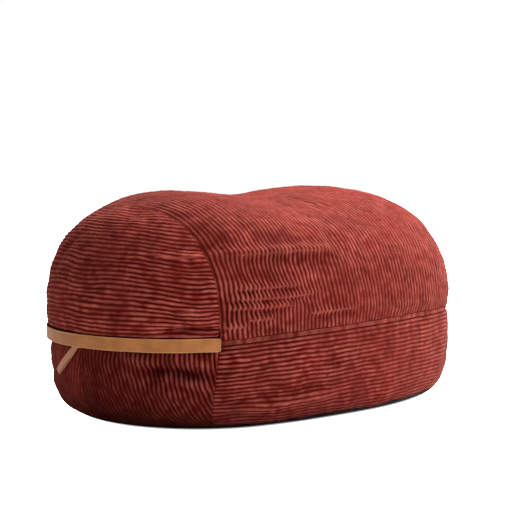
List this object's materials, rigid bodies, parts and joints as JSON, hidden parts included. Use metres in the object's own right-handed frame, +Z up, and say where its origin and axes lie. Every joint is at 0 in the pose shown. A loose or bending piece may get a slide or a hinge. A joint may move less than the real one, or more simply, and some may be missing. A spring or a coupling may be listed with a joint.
{
  "type": "bean bag chair",
  "caption": "Oblong two-crowned bean bag lounger in jumbo corduroy, with an end zip, a tape pull loop and a flat leather grip strap.",
  "frame": {"origin": "middle of the flat foot, on the floor", "axes": "+Z up, X along the length with the zipped end at -X, -Y towards the front long side"},
  "size_m": [1.3106, 0.8552, 0.61],
  "materials": {
    "corduroy": "soft pile",
    "base_fabric": "matt woven",
    "strap_leather": "smooth satin",
    "pull_tape": "matt",
    "zip_tape": "woven",
    "zip_teeth": "satin",
    "zip_metal": "aged satin",
    "thread": "waxed thread",
    "liner_fabric": "woven",
    "liner_zip": "satin",
    "beads": "foamed",
    "label": "satin"
  },
  "bodies": {
    "bag": {"cover_top_panel": "corduroy", "cover_upper_left_end": "corduroy", "cover_upper_right_end": "corduroy", "cover_lower_front": "corduroy", "cover_lower_back": "corduroy", "cover_lower_left_end_front": "corduroy", "cover_lower_left_end_back": "corduroy", "cover_lower_right_end_front": "corduroy", "cover_lower_right_end_back": "corduroy", "cover_base": "base_fabric", "equator_seam_band": "corduroy", "zip_tape_upper": "zip_tape", "zip_tape_lower": "zip_tape", "zip_teeth": "zip_teeth", "zip_top_stop": "zip_metal", "zip_bottom_stop": "zip_metal", "strap_front_half": "strap_leather", "strap_back_half": "strap_leather", "strap_stitching": "thread", "liner_upper": "liner_fabric", "liner_lower": "liner_fabric", "liner_zip_chain": "liner_zip", "liner_zip_slider": "liner_zip", "bead_fill": "beads", "care_label": "label"},
    "slider": {"zip_slider": "zip_metal"},
    "pull": {"zip_pull_tab": "zip_metal", "zip_pull_loop": "pull_tape"},
    "grip": {"strap_grip": "strap_leather"}
  },
  "joints": [
    {"name": "zip_travel", "type": "hinge", "parent": "bag", "child": "slider", "pos_m": [-0.26, 0, 0.24], "axis": [0, 0, -1], "range_deg": [0, 40]},
    {"name": "pull_swing", "type": "hinge", "parent": "slider", "child": "pull", "pos_m": [-0.64, 0, 0.24], "axis": [1, 0, 0], "range_deg": [-79, 5]},
    {"name": "handle_lift", "type": "slide", "parent": "bag", "child": "grip", "axis": [-1, 0, 0], "range_m": [0, 0.045], "deforming": ["strap_front_half", "strap_back_half"]}
  ]
}
